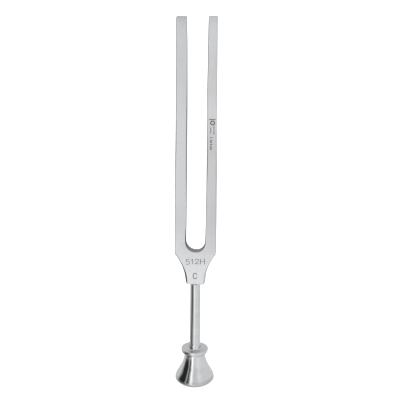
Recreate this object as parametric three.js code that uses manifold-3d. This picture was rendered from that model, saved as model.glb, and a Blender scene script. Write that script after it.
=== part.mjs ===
// A 512 Hz tuning fork on a weighted bell foot.
//
// Three pieces make the fork:
//   fork_head  the two prongs and the yoke, milled and turned from one flat bar
//   stem       the round rod between yoke and foot, with its collar turned in one piece
//   foot       the turned bell that the fork stands on
//
// Millimetres, +Z up. X runs across the two prongs, Y through the bar's thickness.
// The origin is the centre of the foot's flat underside, on the axis of the stem.
import * as THREE from 'three';
import * as BufferGeometryUtils from 'three/addons/utils/BufferGeometryUtils.js';
import Module from 'manifold-3d';

// ---- fork head: bar, prongs, slot ----
const OVERALL_HEIGHT = 110.4;   // underside of the foot to the tip of the longer prong
const LEFT_TIP_Z = 110.2;       // the left prong is filed a touch shorter
const BAR_THICKNESS = 2.8;      // along Y
const BAR_HALF_WIDTH = 5.97;    // along X, at the yoke
const EDGE_ROUND = 0.22;        // broken edges along prongs and slot
const YOKE_END_Z = 32.23;       // square-cut lower end of the yoke
const SLOT_BOTTOM_Z = 42.4;     // lowest point of the round slot end
const SLOT_LEFT_X = -2.75;      // slot walls just above its round end
const SLOT_RIGHT_X = 2.98;
// outer faces of the prongs, half-widths that come in slightly towards the tips
const PRONG_OUTER = [[52.0, 5.97], [59.0, 5.93], [66.0, 5.88], [73.0, 5.79], [80.0, 5.71], [95.0, 5.66]];
const PRONG_TIP_OUTER = 5.6;
// inner faces: nearly parallel, eased away from each other over the last few millimetres
const SLOT_LEFT = [[58.0, -2.66], [95.0, -2.64], [105.0, -2.69]];
const SLOT_LEFT_TIP = -2.82;
const SLOT_RIGHT = [[58.0, 3.02], [78.0, 3.07], [104.0, 3.12], [107.9, 3.16]];
const SLOT_RIGHT_TIP = 3.33;

// radius of the turned lower part of the yoke, from its end up to the full bar
const YOKE_TURNED = [
  [0, YOKE_END_Z], [2.3, YOKE_END_Z], [2.5, YOKE_END_Z + 0.04], [2.64, YOKE_END_Z + 0.18],
  [2.7, YOKE_END_Z + 0.44], [2.75, 33.1], [2.84, 33.6], [2.93, 34.25], [3.04, 34.87], [3.18, 35.5],
  [3.35, 36.14], [3.54, 36.77], [3.745, 37.4], [3.98, 38.03], [4.26, 38.67], [4.575, 39.3],
  [4.9, 39.92], [5.27, 40.55], [5.69, 41.18], [6.13, 41.8], [6.85, 42.7],
];

// ---- joint between head and stem ----
const HEAD_BORE_R = 0.92;
const HEAD_BORE_TOP_Z = 38.9;
const TOP_SPIGOT_R = 0.86;
const TOP_SPIGOT_END_Z = 38.5;
const SEAT_GAP = 0.04;

// ---- stem and its collar ----
const STEM_TOP_R = 1.485;
const STEM_FOOT_R = 1.605;
const STEM_STRAIGHT_END_Z = 13.1;
const COLLAR_TOP_Z = 11.32;
const COLLAR_UNDER_Z = 10.0;
const COLLAR_R = 3.92;
const COLLAR_FLAT_R = 3.68;     // where the rounded rim begins

// ---- joint between stem and foot ----
const LOWER_SPIGOT_R = 1.3;
const LOWER_SPIGOT_END_Z = 3.2;
const FOOT_BORE_R = 1.36;
const FOOT_BORE_END_Z = 2.8;

// ---- foot ----
const FOOT_BASE_R = 3.98;       // flat that the fork stands on
const FOOT_MAX_R = 5.83;
const FOOT_MAX_Z = 1.6;
const FOOT_NECK_R = 3.09;

// ---------------------------------------------------------------- helpers
const wasm = await Module();
wasm.setup();

// merges equal corners and drops triangles that have no area
function weld(geometry) {
  const g = geometry.clone();
  g.deleteAttribute('normal');
  g.deleteAttribute('uv');
  const merged = BufferGeometryUtils.mergeVertices(g, 1e-5);
  const index = merged.getIndex().array;
  const kept = [];
  for (let i = 0; i < index.length; i += 3) {
    const [a, b, c] = [index[i], index[i + 1], index[i + 2]];
    if (a !== b && b !== c && c !== a) kept.push(a, b, c);
  }
  merged.setIndex(kept);
  return merged;
}

function toManifold(geometry) {
  const g = weld(geometry);
  return new wasm.Manifold(new wasm.Mesh({
    numProp: 3,
    vertProperties: new Float32Array(g.getAttribute('position').array),
    triVerts: new Uint32Array(g.getIndex().array),
  }));
}

function toGeometry(manifold) {
  const mesh = manifold.getMesh();
  const g = new THREE.BufferGeometry();
  const n = mesh.numProp;
  const count = mesh.vertProperties.length / n;
  const position = new Float32Array(count * 3);
  for (let i = 0; i < count; i++) {
    for (let k = 0; k < 3; k++) position[i * 3 + k] = mesh.vertProperties[i * n + k];
  }
  g.setAttribute('position', new THREE.BufferAttribute(position, 3));
  g.setIndex(new THREE.BufferAttribute(new Uint32Array(mesh.triVerts), 1));
  g.computeVertexNormals();
  return g;
}

// a solid of revolution about Z; profile is [radius, z] from the bottom of the axis to its top
function turned(profile, segments) {
  const g = new THREE.LatheGeometry(profile.map(([r, z]) => new THREE.Vector2(r, z)), segments);
  g.rotateX(Math.PI / 2);
  return g;
}

function cubic(p0, p1, p2, p3, steps) {
  const curve = new THREE.CubicBezierCurve(
    new THREE.Vector2(...p0), new THREE.Vector2(...p1), new THREE.Vector2(...p2), new THREE.Vector2(...p3));
  return curve.getPoints(steps).map((p) => [p.x, p.y]);
}

function finished(geometry) {
  const g = weld(geometry);
  g.computeVertexNormals();
  return g;
}

// ---------------------------------------------------------------- fork head
function forkHead() {
  const slotR = (SLOT_RIGHT_X - SLOT_LEFT_X) / 2;
  const slotX = (SLOT_RIGHT_X + SLOT_LEFT_X) / 2;
  const slotZ = SLOT_BOTTOM_Z + slotR;
  const s = new THREE.Shape();
  s.moveTo(-BAR_HALF_WIDTH, YOKE_END_Z - 1);
  s.lineTo(BAR_HALF_WIDTH, YOKE_END_Z - 1);
  for (const [z, x] of PRONG_OUTER) s.lineTo(x, z);
  s.lineTo(PRONG_TIP_OUTER, OVERALL_HEIGHT);
  s.lineTo(SLOT_RIGHT_TIP, OVERALL_HEIGHT);
  for (const [z, x] of [...SLOT_RIGHT].reverse()) s.lineTo(x, z);
  s.lineTo(SLOT_RIGHT_X, slotZ);
  const arcSteps = 24;
  for (let i = 1; i < arcSteps; i++) {
    const a = (-Math.PI * i) / arcSteps;
    s.lineTo(slotX + slotR * Math.cos(a), slotZ + slotR * Math.sin(a));
  }
  s.lineTo(SLOT_LEFT_X, slotZ);
  for (const [z, x] of SLOT_LEFT) s.lineTo(x, z);
  s.lineTo(SLOT_LEFT_TIP, LEFT_TIP_Z);
  s.lineTo(-PRONG_TIP_OUTER, LEFT_TIP_Z);
  for (const [z, x] of [...PRONG_OUTER].reverse()) s.lineTo(-x, z);
  s.closePath();

  // the outline lies in X and Z, the bar's thickness along Y
  const bar = new THREE.ExtrudeGeometry(s, {
    depth: BAR_THICKNESS - 2 * EDGE_ROUND, steps: 1,
    bevelEnabled: true, bevelSize: EDGE_ROUND, bevelThickness: EDGE_ROUND, bevelOffset: -EDGE_ROUND, bevelSegments: 2,
  });
  bar.rotateX(Math.PI / 2);
  bar.translate(0, BAR_THICKNESS / 2 - EDGE_ROUND, 0);

  const envelope = turned([...YOKE_TURNED, [8, 44], [8, OVERALL_HEIGHT + 2], [0, OVERALL_HEIGHT + 2]], 96);
  const bore = new THREE.CylinderGeometry(HEAD_BORE_R, HEAD_BORE_R, HEAD_BORE_TOP_Z - YOKE_END_Z + 2, 24);
  bore.rotateX(Math.PI / 2);
  bore.translate(0, 0, (HEAD_BORE_TOP_Z + YOKE_END_Z - 2) / 2);

  return toGeometry(toManifold(bar).intersect(toManifold(envelope)).subtract(toManifold(bore)));
}

// ---------------------------------------------------------------- stem with collar
function stem() {
  const shoulder = YOKE_END_Z - SEAT_GAP;
  const rimR = COLLAR_R - COLLAR_FLAT_R;
  const rimH = (COLLAR_TOP_Z - COLLAR_UNDER_Z) / 2;
  const rimZ = COLLAR_UNDER_Z + rimH;
  const profile = [
    [0, LOWER_SPIGOT_END_Z], [LOWER_SPIGOT_R - 0.2, LOWER_SPIGOT_END_Z], [LOWER_SPIGOT_R, LOWER_SPIGOT_END_Z + 0.2],
    [LOWER_SPIGOT_R, COLLAR_UNDER_Z],
  ];
  // rounded rim, from the underside round to the flat top
  const rimSteps = 10;
  for (let i = 0; i <= rimSteps; i++) {
    const a = -Math.PI / 2 + (Math.PI * i) / rimSteps;
    profile.push([COLLAR_FLAT_R + rimR * Math.cos(a), rimZ + rimH * Math.sin(a)]);
  }
  // concave fillet up into the rod
  profile.push(...cubic([2.3, COLLAR_TOP_Z], [1.82, COLLAR_TOP_Z + 0.02], [STEM_FOOT_R + 0.01, COLLAR_TOP_Z + 0.35],
    [STEM_FOOT_R, STEM_STRAIGHT_END_Z], 7));
  profile.push(
    [STEM_TOP_R, shoulder - 0.12], [STEM_TOP_R - 0.1, shoulder], [TOP_SPIGOT_R, shoulder],
    [TOP_SPIGOT_R, TOP_SPIGOT_END_Z - 0.2], [TOP_SPIGOT_R - 0.2, TOP_SPIGOT_END_Z], [0, TOP_SPIGOT_END_Z],
  );
  return finished(turned(profile, 64));
}

// ---------------------------------------------------------------- foot
function foot() {
  const top = COLLAR_UNDER_Z - SEAT_GAP;
  const profile = [
    [0, 0],
    ...cubic([FOOT_BASE_R, 0], [FOOT_BASE_R + 0.47, 0], [FOOT_MAX_R, FOOT_MAX_Z * 0.75], [FOOT_MAX_R, FOOT_MAX_Z], 10),
    ...cubic([FOOT_MAX_R, FOOT_MAX_Z], [FOOT_MAX_R, FOOT_MAX_Z + 2.01], [FOOT_NECK_R, top - 4.6], [FOOT_NECK_R, top - 0.12], 18).slice(1),
    [FOOT_NECK_R - 0.1, top],
    [FOOT_BORE_R, top],
    [FOOT_BORE_R, FOOT_BORE_END_Z],
    [0, FOOT_BORE_END_Z - 0.6],
  ];
  return finished(turned(profile, 72));
}

// ---------------------------------------------------------------- assembly
function piece(name, geometry, color, roughness) {
  const material = new THREE.MeshStandardMaterial({ color, roughness, metalness: 1 });
  const mesh = new THREE.Mesh(geometry, material);
  mesh.name = name;
  return mesh;
}

const tuningFork = new THREE.Group();
tuningFork.add(piece('fork_head', forkHead(), 0xcfcfd1, 0.38));
tuningFork.add(piece('stem', stem(), 0xd6d6d9, 0.12));
tuningFork.add(piece('foot', foot(), 0xd6d6d9, 0.12));

export default tuningFork;
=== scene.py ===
"""Looks of the 512 Hz tuning fork: satin bar steel head, polished stem and polished bell foot, in a white studio."""
import math

import bmesh
import bpy
import numpy as np
from mathutils import Matrix, Vector
from mathutils.geometry import tessellate_polygon


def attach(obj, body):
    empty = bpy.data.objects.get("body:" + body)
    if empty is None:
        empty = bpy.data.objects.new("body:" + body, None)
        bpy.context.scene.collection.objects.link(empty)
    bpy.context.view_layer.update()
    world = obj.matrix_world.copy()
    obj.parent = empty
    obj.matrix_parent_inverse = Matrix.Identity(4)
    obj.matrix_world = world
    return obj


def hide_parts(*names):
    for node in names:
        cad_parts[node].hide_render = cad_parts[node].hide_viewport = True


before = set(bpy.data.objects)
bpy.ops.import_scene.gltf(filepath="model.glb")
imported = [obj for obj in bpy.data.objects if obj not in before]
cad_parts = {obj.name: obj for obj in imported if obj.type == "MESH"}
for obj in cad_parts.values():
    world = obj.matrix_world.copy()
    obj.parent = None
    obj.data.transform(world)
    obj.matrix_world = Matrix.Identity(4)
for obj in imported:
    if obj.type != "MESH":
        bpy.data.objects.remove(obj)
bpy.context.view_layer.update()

MM = 0.001

# ------------------------------------------------------------------ sizes in millimetres, as in the CAD frame
TIP_R, TIP_L = 110.399, 110.2
THICK = 2.8
HALF_T = THICK / 2
BAR_W = 5.97
YOKE_END = 32.23
SLOT_BOTTOM = 42.4
SLOT_L, SLOT_R = -2.75, 2.98
PRONG_OUTER = [(52.0, 5.97), (59.0, 5.93), (66.0, 5.88), (73.0, 5.79), (80.0, 5.71), (95.0, 5.66)]
TIP_OUTER = 5.6
SLOT_LEFT = [(51.0, -2.67), (53.0, -2.63), (58.0, -2.60), (64.0, -2.60), (70.0, -2.595), (79.0, -2.56), (85.0, -2.53), (91.0, -2.53), (98.0, -2.56), (104.0, -2.61)]
TIP_LEFT = -2.80
SLOT_RIGHT = [(58.0, 3.02), (68.0, 3.045), (78.0, 3.07), (84.5, 3.07), (90.1, 3.00), (95.7, 3.06), (104.0, 3.12), (107.9, 3.17)]
SLOT_R_LOW = 2.73                       # the slot closes in a little where its round end begins
TIP_RIGHT = 3.26
YOKE_TURNED = [
    (2.86, 33.1), (2.95, 33.6), (3.03, 34.25), (3.10, 34.87), (3.20, 35.5), (3.35, 36.14), (3.54, 36.77),
    (3.745, 37.4), (3.98, 38.03), (4.26, 38.67), (4.575, 39.3), (4.9, 39.92), (5.27, 40.55), (5.69, 41.18),
    (6.13, 41.8), (6.85, 42.7),
]
HEAD_BORE_R, HEAD_BORE_TOP = 0.92, 38.9

STEM_TOP_R, STEM_FOOT_R = 1.52, 1.63
STEM_SHOULDER = YOKE_END - 0.04
STEM_FILLET_TOP = 13.1
COLLAR_TOP, COLLAR_UNDER, COLLAR_R = 11.20, 10.0, 3.99
SPIGOT_TOP_R, SPIGOT_TOP_END = 0.86, 38.5
SPIGOT_LOW_R, SPIGOT_LOW_END = 1.3, 3.2

FOOT_TOP = COLLAR_UNDER - 0.04
FOOT_BASE_R, FOOT_MAX_R, FOOT_MAX_Z, FOOT_NECK_R = 3.98, 5.83, 1.6, 3.09
FOOT_BORE_R, FOOT_BORE_END = 1.36, 2.8


# ------------------------------------------------------------------ small tools
def spline(xs, ys):
    """Natural cubic spline through the points, as a function."""
    x, y = np.array(xs, float), np.array(ys, float)
    n = len(x)
    h = np.diff(x)
    a = np.zeros((n, n))
    b = np.zeros(n)
    a[0, 0] = a[-1, -1] = 1
    for i in range(1, n - 1):
        a[i, i - 1], a[i, i], a[i, i + 1] = h[i - 1], 2 * (h[i - 1] + h[i]), h[i]
        b[i] = 6 * ((y[i + 1] - y[i]) / h[i] - (y[i] - y[i - 1]) / h[i - 1])
    m = np.linalg.solve(a, b)

    def f(t):
        t = np.asarray(t, float)
        k = np.clip(np.searchsorted(x, t) - 1, 0, n - 2)
        u, v = x[k + 1] - t, t - x[k]
        hk = h[k]
        return (
            m[k] * u**3 / (6 * hk) + m[k + 1] * v**3 / (6 * hk)
            + (y[k] / hk - m[k] * hk / 6) * u + (y[k + 1] / hk - m[k + 1] * hk / 6) * v
        )

    return f


def bezier(p0, p1, p2, p3, steps):
    t = np.linspace(0, 1, steps + 1)[:, None]
    p0, p1, p2, p3 = (np.array(p, float) for p in (p0, p1, p2, p3))
    return (1 - t) ** 3 * p0 + 3 * (1 - t) ** 2 * t * p1 + 3 * (1 - t) * t * t * p2 + t**3 * p3


def resample(points, count):
    """count points at equal steps along an open line."""
    p = np.array(points, float)
    d = np.concatenate([[0], np.cumsum(np.linalg.norm(np.diff(p, axis=0), axis=1))])
    s = np.linspace(0, d[-1], count)
    return np.stack([np.interp(s, d, p[:, 0]), np.interp(s, d, p[:, 1])], -1)


def mesh_object(name, verts_mm, faces, smooth=True):
    me = bpy.data.meshes.new(name)
    me.from_pydata([tuple(v) for v in verts_mm], [], faces)
    me.update()
    ob = bpy.data.objects.new(name, me)
    bpy.context.scene.collection.objects.link(ob)
    if smooth:
        me.polygons.foreach_set("use_smooth", [True] * len(me.polygons))
    return ob


def sharp_by_angle(me, degrees):
    """Marks the edges whose two faces meet at more than the angle as sharp, so shading breaks there."""
    bm = bmesh.new()
    bm.from_mesh(me)
    limit = math.radians(degrees)
    for e in bm.edges:
        if len(e.link_faces) == 2:
            e.smooth = e.calc_face_angle(0.0) < limit
    for f in bm.faces:
        f.smooth = True
    bm.to_mesh(me)
    bm.free()


def apply_modifiers(ob):
    dg = bpy.context.evaluated_depsgraph_get()
    new = bpy.data.meshes.new_from_object(ob.evaluated_get(dg), preserve_all_data_layers=True, depsgraph=dg)
    ob.modifiers.clear()
    old = ob.data
    ob.data = new
    bpy.data.meshes.remove(old)
    return ob


def lathe(name, profile, segments):
    """Solid of revolution about Z from (radius, z) points, first and last on the axis."""
    prof = [tuple(p) for p in profile]
    verts, rings = [], []
    for r, z in prof:
        if r < 1e-6:
            rings.append([len(verts)])
            verts.append((0.0, 0.0, z))
        else:
            start = len(verts)
            for i in range(segments):
                a = 2 * math.pi * i / segments
                verts.append((r * math.cos(a), r * math.sin(a), z))
            rings.append(list(range(start, start + segments)))
    faces = []
    for lo, hi in zip(rings, rings[1:]):
        for i in range(segments):
            j = (i + 1) % segments
            if len(lo) == 1:
                faces.append((lo[0], hi[j], hi[i]))
            elif len(hi) == 1:
                faces.append((lo[i], lo[j], hi[0]))
            else:
                faces.append((lo[i], lo[j], hi[j], hi[i]))
    return mesh_object(name, verts, faces)


# ------------------------------------------------------------------ fork head
def end_profile():
    """(r, z) of the turned lower end: flat, rounded edge, then the concave flank up past the bar's corners."""
    flank = spline([z for _, z in YOKE_TURNED], [r for r, _ in YOKE_TURNED])
    # rounded edge between the flat end and the flank
    edge = bezier((2.3, YOKE_END), (2.68, YOKE_END), (2.79, YOKE_END + 0.14), (2.86, 33.1), 14)
    z = np.linspace(33.1, 42.6, 120)[1:]
    rest = np.stack([flank(z), z], -1)
    flat = np.stack([np.linspace(0, 2.3, 30)[:-1], np.full(29, YOKE_END)], -1)
    return np.vstack([flat, edge, rest])


END = end_profile()
N_END = 84      # points from the middle of the end to the shoulder's round
N_SHOULDER = 7
N_OUT = 60
N_TIP = 12
N_CORNER = 6
N_IN = 60
N_ARC = 64


def arc_corner(a, corner, b, radius, steps):
    """Points of a round between the lines a-corner and corner-b, ends included."""
    a, c, b = (np.array(p, float) for p in (a, corner, b))
    u, v = (a - c) / np.linalg.norm(a - c), (b - c) / np.linalg.norm(b - c)
    half = math.acos(max(-1, min(1, float(u @ v)))) / 2
    t = radius / math.tan(half)
    centre = c + (u + v) / np.linalg.norm(u + v) * (radius / math.sin(half))
    p, q = c + u * t, c + v * t
    a0, a1 = math.atan2(*(p - centre)[::-1]), math.atan2(*(q - centre)[::-1])
    d = (a1 - a0 + math.pi) % (2 * math.pi) - math.pi
    return np.array([centre + radius * np.array([math.cos(a0 + d * k / (steps - 1)), math.sin(a0 + d * k / (steps - 1))]) for k in range(steps)])


def side_line(points, z0, z1, count):
    """x of a prong face from smooth spline through (z, x), at count heights."""
    zs = np.linspace(z0, z1, count)
    f = spline([p[0] for p in points], [p[1] for p in points])
    return np.stack([f(zs), zs], -1)


OUT_PTS = [(40.0, BAR_W), (46.0, BAR_W)] + PRONG_OUTER + [(TIP_R + 0.5, TIP_OUTER)]
SLOT_MID_X, SLOT_END_R = (SLOT_R + SLOT_L) / 2, (SLOT_R - SLOT_L) / 2
SLOT_MID_Z = SLOT_BOTTOM + SLOT_END_R
IN_R = [(SLOT_BOTTOM, SLOT_R_LOW - 0.02), (SLOT_MID_Z, SLOT_R_LOW), (47.2, 2.80), (49.0, 2.89), (51.5, 2.955)] + SLOT_RIGHT + [(TIP_R, TIP_RIGHT), (TIP_R + 0.5, TIP_RIGHT + 0.03)]
IN_L = [(SLOT_BOTTOM, SLOT_L), (46.0, SLOT_L), (49.0, SLOT_L + 0.02)] + SLOT_LEFT + [(TIP_L, TIP_LEFT), (TIP_L + 0.5, TIP_LEFT - 0.01)]


def half_contour(y, side):
    """Contour of one half of the head at depth y, from the middle of the yoke's end to the bottom of the slot.
    Returns points (x, z)."""
    y = abs(y)
    # turned end, cut at depth y
    r, z = END[:, 0], END[:, 1]
    keep = r > y + 1e-9
    k0 = int(np.argmax(keep))
    z0 = np.interp(y, r[max(0, k0 - 1):k0 + 1], z[max(0, k0 - 1):k0 + 1]) if k0 > 0 else z[0]
    x = np.concatenate([[0.0], np.sqrt(np.maximum(r[k0:] ** 2 - y * y, 0))])
    zz = np.concatenate([[z0], z[k0:]])
    # where it meets the bar's side
    i = int(np.argmax(x > BAR_W))
    t = (BAR_W - x[i - 1]) / (x[i] - x[i - 1])
    zc = zz[i - 1] + t * (zz[i] - zz[i - 1])
    flank = np.stack([np.concatenate([x[:i], [BAR_W]]), np.concatenate([zz[:i], [zc]])], -1)
    corner = flank[-1]
    before = flank[-1] - (flank[-1] - flank[-3]) / np.linalg.norm(flank[-1] - flank[-3]) * 1.0
    shoulder = arc_corner(before, corner, corner + np.array([0, 1.0]), 0.6, N_SHOULDER)
    # trim the flank at the round's first point, then space its points evenly
    cut = flank[flank[:, 1] < shoulder[0, 1] - 1e-4]
    lower = resample(np.vstack([cut, shoulder[:1]]), N_END)
    # outer face
    top = TIP_R if side > 0 else TIP_L
    tip_r_out, tip_r_in = 0.03, 0.04 if side > 0 else 0.2
    outer = side_line(OUT_PTS, shoulder[-1, 1], top, N_OUT + 1)
    outer[0] = shoulder[-1]
    inner_pts = IN_R if side > 0 else [(a, -b) for a, b in IN_L]
    slot_r, slot_z = SLOT_END_R, SLOT_MID_Z
    slot_x = SLOT_MID_X * side
    # half width and fullness of this half of the round end
    half_w, power = (SLOT_R_LOW - SLOT_MID_X, 2 / 2.25) if side > 0 else (SLOT_END_R, 1.0)
    inner = side_line(inner_pts, top, slot_z, N_IN + 1)
    c_out = arc_corner(outer[-3], outer[-1], inner[0], tip_r_out, N_CORNER)
    c_in = arc_corner(outer[-1], inner[0], inner[2], tip_r_in, N_CORNER)
    out_keep = resample(np.vstack([outer[outer[:, 1] < c_out[0, 1] - 1e-4], c_out[:1]]), N_OUT)
    tip = resample(np.vstack([c_out[-1:], c_in[:1]]), N_TIP)
    in_keep = resample(np.vstack([c_in[-1:], inner[inner[:, 1] < c_in[-1, 1] - 1e-4]]), N_IN)
    ang = np.linspace(0, -math.pi / 2, N_ARC // 2 + 1)[1:]
    arc = np.stack([slot_x + half_w * np.abs(np.cos(ang)) ** power, slot_z - slot_r * np.abs(np.sin(ang)) ** power], -1)
    arc[-1] = (slot_x, SLOT_BOTTOM)
    pts = np.vstack([lower[:-1], shoulder, out_keep[1:], c_out[1:-1], tip, c_in[1:-1], in_keep, arc])
    return pts


def edge_radius(p):
    """How far the edge between this contour point and the flat faces is rounded."""
    x, z = abs(p[0]), p[1]
    tip = np.clip(((TIP_R if p[0] > 0 else TIP_L) - 0.1 - z) / 1.2, 0, 1)
    rad = 0.05 + (0.26 - 0.05) * tip * tip * (3 - 2 * tip)
    if x < 3.3 and SLOT_BOTTOM - 0.5 < z < 58:          # slot end: crisper at the bottom
        k = np.clip((z - 47.0) / 10.0, 0, 1)
        rad = min(rad, 0.09 + (0.26 - 0.09) * k)
        rad += 0.24 * math.exp(-((z - 45.3) / 1.1) ** 2) if p[0] > 0 else 0.16 * math.exp(-((z - 46.4) / 1.6) ** 2)
    if p[0] > 0 and x < 4.0 and z > 58:                 # long edges, broken by hand and so not quite evenly
        rad += 0.15 * math.exp(-((z - 69.0) / 4.5) ** 2)
    if p[0] < 0 and x > 5.0 and z > 58:
        rad += 0.10 * math.exp(-((z - 75.0) / 6.0) ** 2)
    if x > 2.0 and z < 41.5 and p[0] < 0:               # flank under the corner, broken a little more on one side
        rad += 0.16 * float(np.clip((39.5 - z) / 4.0, 0, 1))
    end = np.clip((z - YOKE_END) / 1.2, 0, 1)
    return rad if z > YOKE_END + 1.2 else 0.16 + (rad - 0.16) * end


def fork_head():
    base_r = half_contour(0.0, +1)
    base_l = half_contour(0.0, -1)

    def full(y):
        r, l = half_contour(y, +1), half_contour(y, -1)
        l = l * np.array([-1.0, 1.0])
        return np.vstack([r, l[::-1][1:-1]])

    base = full(0.0)
    n = len(base)
    rad = np.array([edge_radius(p) for p in base])
    # walls at many depths, so that each point can take its own depth
    ys = np.linspace(0, HALF_T, 25)
    walls = np.array([full(y) for y in ys])

    def wall(depth):
        k = np.clip(np.abs(depth) / HALF_T * (len(ys) - 1), 0, len(ys) - 1 - 1e-9)
        i = k.astype(int)
        f = (k - i)[:, None]
        idx = np.arange(n)
        return walls[i, idx] * (1 - f) + walls[i + 1, idx] * f

    def inward(p):
        t = np.roll(p, -1, 0) - np.roll(p, 1, 0)
        t /= np.linalg.norm(t, axis=1)[:, None]
        return np.stack([-t[:, 1], t[:, 0]], -1)     # contour runs anticlockwise seen from the front

    rings = []
    thetas = np.radians([90, 75, 60, 45, 30, 15, 0])
    mids = [0.8, 0.5, 0.2, -0.2, -0.5, -0.8]
    for th in thetas:                      # front edge, from the flat face outwards
        depth = -(HALF_T - rad * (1 - math.sin(th)))
        p = wall(depth)
        p = p + inward(p) * (rad * (1 - math.cos(th)))[:, None]
        rings.append((depth, p))
    for m in mids:
        depth = -(HALF_T - rad) * m
        rings.append((depth, wall(depth)))
    for th in thetas[::-1]:
        depth = HALF_T - rad * (1 - math.sin(th))
        p = wall(depth)
        p = p + inward(p) * (rad * (1 - math.cos(th)))[:, None]
        rings.append((depth, p))
    verts = []
    for depth, p in rings:
        for k in range(n):
            lean = 0.05 * max(0.0, min(1.0, (36.5 - p[k, 1]) / 2.0))
            verts.append((max(0.001 - BAR_W, min(BAR_W - 0.001, p[k, 0] + lean)), float(depth[k]), p[k, 1]))
    faces = []
    for j in range(len(rings) - 1):
        a, b = j * n, (j + 1) * n
        for k in range(n):
            q = (k + 1) % n
            faces.append((a + k, b + k, b + q, a + q))
    front = [Vector((v[0], v[2], 0)) for v in verts[:n]]
    tris = tessellate_polygon([front])
    for t in tris:
        a, b, c = (verts[i] for i in t)
        area = (b[0] - a[0]) * (c[2] - a[2]) - (c[0] - a[0]) * (b[2] - a[2])
        faces.append(tuple(t) if area > 0 else tuple(t)[::-1])
    off = (len(rings) - 1) * n
    back = [Vector((v[0], v[2], 0)) for v in verts[off:off + n]]
    for t in tessellate_polygon([back]):
        a, b, c = (verts[off + i] for i in t)
        area = (b[0] - a[0]) * (c[2] - a[2]) - (c[0] - a[0]) * (b[2] - a[2])
        t = tuple(off + i for i in t)
        faces.append(t[::-1] if area > 0 else t)
    ob = mesh_object("fork_head_fine", verts, faces)
    bm = bmesh.new()
    bm.from_mesh(ob.data)
    bmesh.ops.recalc_face_normals(bm, faces=bm.faces)
    bm.to_mesh(ob.data)
    bm.free()
    return ob


def stroke_outline(line, half):
    """Closed outline of a stroke of the given half width along a line of (x, z) points, with round ends."""
    p = np.array(line, float)
    t = np.gradient(p, axis=0)
    t /= np.linalg.norm(t, axis=1)[:, None]
    nrm = np.stack([-t[:, 1], t[:, 0]], -1)
    left, right = p + nrm * half, p - nrm * half
    a0 = math.atan2(t[-1, 1], t[-1, 0])
    a1 = math.atan2(-t[0, 1], -t[0, 0])
    end = [p[-1] + half * np.array([math.cos(a0 + b), math.sin(a0 + b)]) for b in np.linspace(-math.pi / 2, math.pi / 2, 9)[1:-1]]
    start = [p[0] + half * np.array([math.cos(a1 + b), math.sin(a1 + b)]) for b in np.linspace(-math.pi / 2, math.pi / 2, 9)[1:-1]]
    return np.vstack([right, np.array(end), left[::-1], np.array(start)])


def smooth_line(points, count):
    """Smooth line through the points, by chord length."""
    p = np.array(points, float)
    d = np.concatenate([[0], np.cumsum(np.linalg.norm(np.diff(p, axis=0), axis=1))])
    if len(p) == 2:
        t = np.linspace(0, 1, count)[:, None]
        return p[0] * (1 - t) + p[1] * t
    s = np.linspace(0, d[-1], count)
    return np.stack([spline(d, p[:, 0])(s), spline(d, p[:, 1])(s)], -1)


def stamped_stroke(name, line, half, depth):
    """Cutter for one stroke: a groove whose sides slope in towards a narrower bottom."""
    above = 0.06
    slope = half * 0.45 / depth
    top = stroke_outline(line, half + slope * above)
    low = stroke_outline(line, half - slope * depth)
    m = len(top)
    verts = [(x, -HALF_T - above, z) for x, z in top] + [(x, -HALF_T + depth, z) for x, z in low]
    faces = [(k, (k + 1) % m, m + (k + 1) % m, m + k) for k in range(m)]
    for t in tessellate_polygon([[Vector((x, z, 0)) for x, z in top]]):
        faces.append(tuple(t))
    for t in tessellate_polygon([[Vector((x, z, 0)) for x, z in low]]):
        faces.append(tuple(m + i for i in t)[::-1])
    ob = mesh_object(name, verts, faces, smooth=False)
    bm = bmesh.new()
    bm.from_mesh(ob.data)
    bmesh.ops.recalc_face_normals(bm, faces=bm.faces)
    bm.to_mesh(ob.data)
    bm.free()
    return ob


def prism(name, outline, depth, hole=None):
    """A closed prism of a front-face outline (x, z), reaching depth into the front face. hole is an inner outline."""
    y0, y1 = -HALF_T - 0.3, -HALF_T + depth
    verts, faces = [], []
    loops = [outline] + ([hole] if hole is not None else [])
    starts = []
    for loop in loops:
        starts.append(len(verts))
        for x, z in loop:
            verts.append((x, y0, z))
        for x, z in loop:
            verts.append((x, y1, z))
    for s, loop in zip(starts, loops):
        m = len(loop)
        for k in range(m):
            q = (k + 1) % m
            faces.append((s + k, s + q, s + m + q, s + m + k))
    polys = [[Vector((x, z, 0)) for x, z in loop] for loop in loops]
    flat = [i for s, loop in zip(starts, loops) for i in range(s, s + len(loop))]
    for t in tessellate_polygon(polys):
        faces.append(tuple(flat[i] for i in t))
    size = {s: len(loop) for s, loop in zip(starts, loops)}
    back_of = {}
    for s, loop in zip(starts, loops):
        for k in range(len(loop)):
            back_of[s + k] = s + len(loop) + k
    for t in tessellate_polygon(polys):
        faces.append(tuple(back_of[flat[i]] for i in reversed(t)))
    ob = mesh_object(name, verts, faces, smooth=False)
    bm = bmesh.new()
    bm.from_mesh(ob.data)
    bmesh.ops.recalc_face_normals(bm, faces=bm.faces)
    bm.to_mesh(ob.data)
    bm.free()
    return ob


def join_objects(name, obs):
    bm = bmesh.new()
    for o in obs:
        bm.from_mesh(o.data)
    me = bpy.data.meshes.new(name)
    bm.to_mesh(me)
    bm.free()
    for o in obs:
        bpy.data.objects.remove(o)
    ob = bpy.data.objects.new(name, me)
    bpy.context.scene.collection.objects.link(ob)
    return ob


def cut(ob, cutter):
    m = ob.modifiers.new("cut", "BOOLEAN")
    m.operation = "DIFFERENCE"
    m.solver = "EXACT"
    m.object = cutter
    bpy.context.view_layer.update()
    apply_modifiers(ob)
    bpy.data.objects.remove(cutter)


head = fork_head()

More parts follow.
